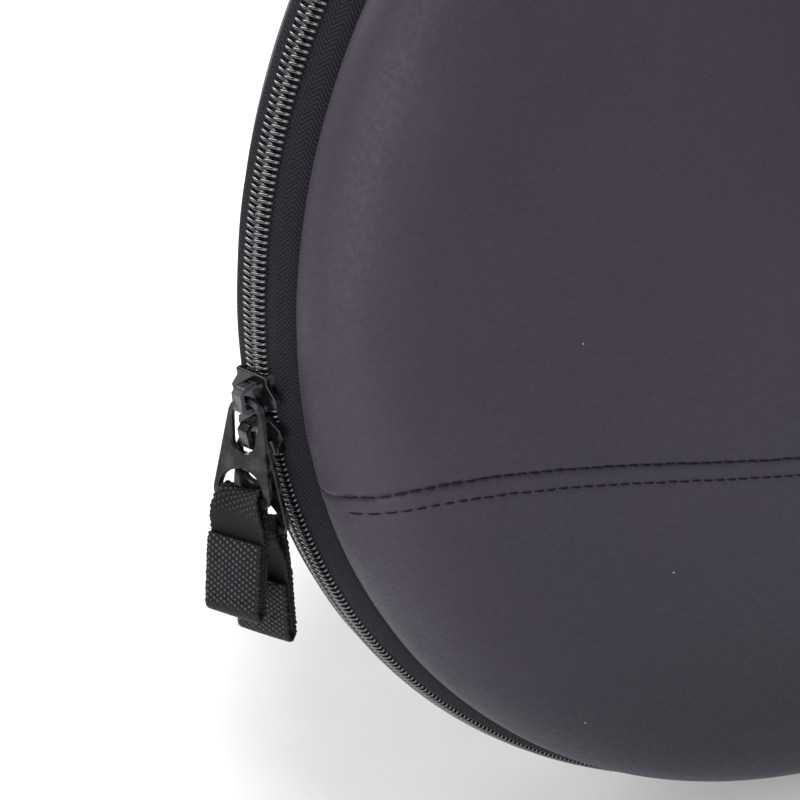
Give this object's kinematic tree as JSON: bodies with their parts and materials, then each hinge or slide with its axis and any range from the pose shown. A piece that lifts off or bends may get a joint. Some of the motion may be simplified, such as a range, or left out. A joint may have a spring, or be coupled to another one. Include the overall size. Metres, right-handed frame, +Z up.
{
  "type": "paddle case",
  "caption": "Padded round-head paddle case with a coil zip all round, two zip sliders with webbing pulls and a hang loop.",
  "frame": {"origin": "where a hook carries the hang loop, at the inside top of the loop", "axes": "+Z up along the case with the handle end up, front panel towards -Y, sliders on the -X side"},
  "size_m": [0.3118, 0.0723, 0.5282],
  "materials": {
    "shell_fabric": "matt coated",
    "foam": "closed cell foam",
    "lining": "smooth knit",
    "binding": "ribbed",
    "tape": "herringbone weave",
    "coil": "glossy",
    "enamel": "gloss enamel",
    "webbing": "woven webbing"
  },
  "bodies": {
    "back_shell": {"back_panel": "shell_fabric", "back_padding": "foam", "back_lining": "lining", "back_seam_binding": "binding", "back_zip_tape": "tape", "back_coil": "coil", "back_end_stops": "enamel", "top_gusset": "tape", "hang_loop": "webbing"},
    "front_shell": {"front_upper_panel": "shell_fabric", "front_lower_panel": "shell_fabric", "front_padding": "foam", "front_lining": "lining", "front_seam_binding": "binding", "front_zip_tape": "tape", "front_coil": "coil", "front_end_stops": "enamel"},
    "slider_1": {"slider_1_body": "enamel", "slider_1_bail": "enamel"},
    "slider_2": {"slider_2_body": "enamel", "slider_2_bail": "enamel"},
    "pull_tab_1": {"slider_1_pull_tab": "enamel"},
    "pull_tab_2": {"slider_2_pull_tab": "enamel"},
    "webbing_1": {"slider_1_webbing_pull": "webbing"},
    "webbing_2": {"slider_2_webbing_pull": "webbing"}
  },
  "joints": [
    {"name": "front_open", "type": "hinge", "parent": "back_shell", "child": "front_shell", "pos_m": [0, -0.03545, -0.0383], "axis": [-1, 0, 0], "range_deg": [0, 150]},
    {"name": "slider_1_travel", "type": "hinge", "parent": "back_shell", "child": "slider_1", "pos_m": [0, -0.02865, -0.3771], "axis": [0, 1, 0], "range_deg": [0, 31]},
    {"name": "slider_2_travel", "type": "hinge", "parent": "back_shell", "child": "slider_2", "pos_m": [0, -0.02865, -0.3771], "axis": [0, -1, 0], "range_deg": [0, 198]},
    {"name": "pull_tab_1_flip", "type": "hinge", "parent": "slider_1", "child": "pull_tab_1", "pos_m": [-0.15085, -0.03075, -0.39115], "axis": [-0.6428, 0.766, 0], "range_deg": [0, 160]},
    {"name": "pull_tab_2_swing", "type": "hinge", "parent": "slider_2", "child": "pull_tab_2", "pos_m": [-0.14971, -0.03061, -0.4028], "axis": [0.7646, 0.6416, 0.061], "range_deg": [-4, 60]},
    {"name": "webbing_1_swing", "type": "hinge", "parent": "pull_tab_1", "child": "webbing_1", "pos_m": [-0.15334, -0.03283, -0.41165], "axis": [0.6428, -0.766, 0], "range_deg": [-75, 0]},
    {"name": "webbing_2_swing", "type": "hinge", "parent": "pull_tab_2", "child": "webbing_2", "pos_m": [-0.1489, -0.02993, -0.42001], "axis": [0.6428, -0.766, 0], "range_deg": [0, 8]}
  ]
}
